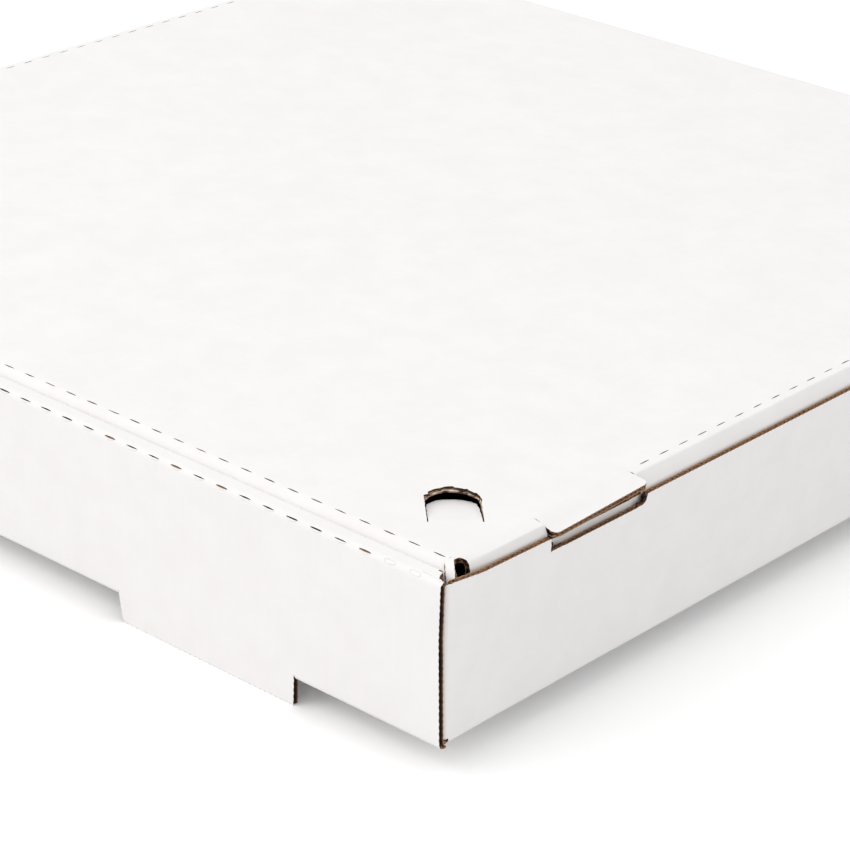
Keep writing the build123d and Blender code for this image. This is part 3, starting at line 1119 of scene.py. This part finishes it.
# Vents
ventSetup = {
    "joints": {"vent_flap_right": "vent_right_hinge", "vent_flap_left": "vent_left_hinge"},
    "pieces": {"vent_flap_right": "ventFlapRight", "vent_flap_left": "ventFlapLeft"},
    "kerfReach": 1.1 * mm,          # from the hinge line back to the edge of the opening
    "bendEnd": 0.9 * mm,            # from the hinge line forwards to where the flap is stiff
    "bendSteps": 3,
    "halfWidth": 7.3 * mm,
    "reach": (-2 * mm, 19.5 * mm),  # of the vent's edges, from the hinge line
    "tornReach": (5 * mm, 12 * mm),     # where the tears begin, and where they are at their full depth
    "leastTorn": 0.15,              # share of the pattern's depth before that
    "pressedIn": math.radians(10.5),
    "lidSeamGap": 0.03 * mm,
    "flapSeamGap": 0.05 * mm,
    "creaseGap": 0.01 * mm,
    "creaseEdgeGap": 0.02 * mm,
    "topShare": 0.9,                # of the bend's radius, above which the top face lies
}


# Direction of a vent flap, from its hinge towards the middle of the lid
def ventDirection(place):
    return Vector((-place.x, -place.y * abs(place.x / place.y), 0)).normalized()


# How far a place lies from each vent's hinge, forwards and to the side
def ventOffsets(place):
    offsets = []
    for jointName in ventSetup["joints"].values():
        ventHinge = jointPlaces[jointName]
        direction = ventDirection(ventHinge)
        offset = place - ventHinge
        offsets.append((offset.dot(direction), abs(offset.cross(direction).z)))
    return offsets


def onVentSeam(place):
    setup = ventSetup
    for along, across in ventOffsets(place):
        if abs(along + setup["kerfReach"]) < setup["lidSeamGap"] and across < setup["halfWidth"]:
            return True
    return False


# Lid
lidSetup = {
    "leastOpen": 0.8,               # share of a cut's width, and its growth
    "openGrowth": 0.6,
    "hingeGap": 0.01 * mm,
    "panelHalf": 172.5 * mm,
    "shoulderRadius": 4 * mm,
    "roundGap": 0.06 * mm,          # how far from the round shoulder or the flap its points may lie
    "flapGap": 0.05 * mm,
    "tabFrom": trayLow[1] + 41.05 * mm,     # between these the edge belongs to the side tab
    "tabTo": trayLow[1] + 78.45 * mm,
    "sectionTo": trayLow[1] + 78.49 * mm,   # the front section reaches back to here
    "shoulderFrom": trayLow[1] + 13.8 * mm,     # the crease begins, and is at its full depth
    "shoulderFull": trayLow[1] + 23.8 * mm,
    # sections of the creased shoulder: outwards and down from the edge of the lid's panel
    "frontSection": [(0, 0), (3.8 * mm, -0.45 * mm), (4.85 * mm, -2.6 * mm), (4.85 * mm, -4 * mm)],
    "rearSection": [(0, 0), (2.4 * mm, -0.04 * mm), (4.8 * mm, -3.7 * mm), (4.85 * mm, -4 * mm)],
    "flapOut": 4.85 * mm,           # the side flap's upper end lies this far outside the panel
    "flapFoot": 13 * mm,
    "earFront": trayLow[1] + 6.3 * mm,
    "earGrowth": 0.2,               # of the gap with the distance to the front
    "earGap": 0.9 * mm,
    "earPattern": 0.3,              # share of the pattern's depth
}


def isLidHinge(face):
    return face.center.y > hinge.y + lidSetup["hingeGap"]


def isLidSeed(face):
    isTop = face.normal.z > sheetSeed["facing"] and face.center.z > lidTop - sheetSeed["levelGap"]
    return isTop and face.area > sheetSeed["area"]


def isLidSeam(place):
    return place.y > hinge.y - bendSetup["lidReach"] - lidSetup["hingeGap"] or onVentSeam(place)


# A vent's edges are torn, and the ears at the front corners stand back from the tray
def lidWear(place):
    reachFrom, reachTo = ventSetup["reach"]
    tornFrom, tornTo = ventSetup["tornReach"]
    least = ventSetup["leastTorn"]
    for along, across in ventOffsets(place):
        if reachFrom < along < reachTo and across < ventSetup["halfWidth"]:
            return 1, least + (1 - least) * clamp((along - tornFrom) / (tornTo - tornFrom)), 0, 0
    setup = lidSetup
    if abs(place.x) > setup["panelHalf"] and place.y < setup["earFront"]:
        gap = min(setup["earGap"], setup["earGrowth"] * (setup["earFront"] - place.y))
        return 0, setup["earPattern"], gap, gap
    return plainWear(place)


def pointOnSection(section, share):
    lengths = [math.dist(a, b) for a, b in zip(section, section[1:])]
    run = share * sum(lengths)
    for (a, b), length in zip(zip(section, section[1:]), lengths):
        if run <= length:
            break
        run -= length
    return [a[axis] + (b[axis] - a[axis]) * min(1, run / length) for axis in range(2)]


# Where a point of the round shoulder or the side flap goes, or nothing where it stays
def creasedPlace(place):
    setup = lidSetup
    radius = setup["shoulderRadius"]
    foldLevel = lidTop - radius
    away = abs(place.x) - setup["panelHalf"]
    if away <= 0:
        return None
    if place.z > foldLevel:
        isTab = setup["tabFrom"] < place.y < setup["tabTo"]
        if isTab or abs(math.hypot(away, place.z - foldLevel) - radius) > setup["roundGap"]:
            return None
        turn = math.atan2(away, place.z - foldLevel)
        section = setup["frontSection" if place.y < setup["sectionTo"] else "rearSection"]
        outwards, drop = pointOnSection(section, turn / (math.pi / 2))
        level = lidTop + drop
    elif abs(away - radius) < setup["flapGap"]:
        lean = max(0, (place.z - setup["flapFoot"]) / (foldLevel - setup["flapFoot"]))
        outwards = radius + (setup["flapOut"] - radius) * lean
        level = place.z
    else:
        return None
    return Vector((math.copysign(setup["panelHalf"] + outwards, place.x), place.y, level))


# The side shoulders are creased at their top and lean out against the side walls
def creaseShoulders(piece):
    start = lidSetup["shoulderFrom"]
    end = lidSetup["shoulderFull"]
    for vert in piece.data.vertices:
        target = creasedPlace(vert.co)
        if target is not None:
            vert.co += (target - vert.co) * clamp((vert.co.y - start) / (end - start))


def trimBack(piece):
    bpy.ops.object.mode_set(mode="EDIT")
    bpy.ops.mesh.select_all(action="SELECT")
    trim = (0, hinge.y - bendSetup["lidReach"], 0)
    bpy.ops.mesh.bisect(plane_co=trim, plane_no=(0, 1, 0), clear_outer=True)
    bpy.ops.object.mode_set(mode="OBJECT")


def buildLid(setup):
    piece = copyNode("lid", "lidBoard")
    keepOuterLiner(piece, isLidSeed, isLidHinge)
    trimBack(piece)
    cutGrid(piece)
    creaseShoulders(piece)
    shapeSlots(piece, setup["leastOpen"], setup["openGrowth"])
    finishBoard(piece, isLidSeam, lidWear)
    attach(piece, "lid")
    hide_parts("lid")


# Extrudes the flap's crease edge round the bend and on to the edge of the lid's opening
def extendToLid(piece, isCreaseEdge, levels):
    mesh = bmesh.new()
    mesh.from_mesh(piece.data)
    creaseEdges = [edge for edge in mesh.edges if edge.is_boundary and isCreaseEdge(edge)]
    for level, nextLevel in zip(levels, levels[1:]):
        made = bmesh.ops.extrude_edge_only(mesh, edges=creaseEdges)["geom"]
        movedVerts = [item for item in made if isinstance(item, bmesh.types.BMVert)]
        bmesh.ops.translate(mesh, verts=movedVerts, vec=nextLevel - level)
        creaseEdges = [item for item in made if isinstance(item, bmesh.types.BMEdge)]
    bmesh.ops.recalc_face_normals(mesh, faces=mesh.faces)
    if sum(face.normal.z * face.calc_area() for face in mesh.faces) < 0:
        bmesh.ops.reverse_faces(mesh, faces=mesh.faces)
    mesh.to_mesh(piece.data)
    mesh.free()


# Vent flaps, each joined to the lid by its crease
def buildVentFlap(nodeName, setup):
    ventHinge = jointPlaces[setup["joints"][nodeName]]
    direction = ventDirection(ventHinge)
    up = Vector((0, 0, 1))
    pressed = setup["pressedIn"]
    outwards = direction * math.cos(pressed) - up * math.sin(pressed)
    upwards = direction * math.sin(pressed) + up * math.cos(pressed)
    radius = bendSetup["radius"]
    kerfEdge = ventHinge - direction * setup["kerfReach"]

    def isCrease(face):
        return (face.center - ventHinge).dot(outwards) < setup["creaseGap"]

    def isTop(face):
        isHigh = (face.center - ventHinge).dot(upwards) > setup["topShare"] * radius
        return isHigh and face.normal.dot(upwards) > sheetSeed["facing"]

    def isCreaseEdge(edge):
        return all(abs((vert.co - ventHinge).dot(outwards)) < setup["creaseEdgeGap"] for vert in edge.verts)

    def isSeam(place):
        return (place - ventHinge).dot(direction) < setup["flapSeamGap"] - setup["kerfReach"]

    levels = []
    for step in range(setup["bendSteps"] + 1):
        share = step / setup["bendSteps"]
        levels.append(ventHinge + (upwards * (1 - share) + up * share).normalized() * radius)
    levels.append(kerfEdge + up * radius)
    piece = copyNode(nodeName, setup["pieces"][nodeName])
    keepOuterLiner(piece, isTop, isCrease)
    extendToLid(piece, isCreaseEdge, levels)
    shapeSlots(piece, lidSetup["leastOpen"], lidSetup["openGrowth"])
    finishBoard(piece, isSeam, lidWear)
    start = kerfEdge
    end = ventHinge + direction * setup["bendEnd"]
    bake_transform(piece, "lid", nodeName, start=start, end=end)
    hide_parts(nodeName)


buildTray(traySetup)
buildFoldMarks(markSetup)
buildLid(lidSetup)
for flapName in ventSetup["joints"]:
    buildVentFlap(flapName, ventSetup)
buildBackCrease(bendSetup)

scene.view_settings.view_transform = "Standard"
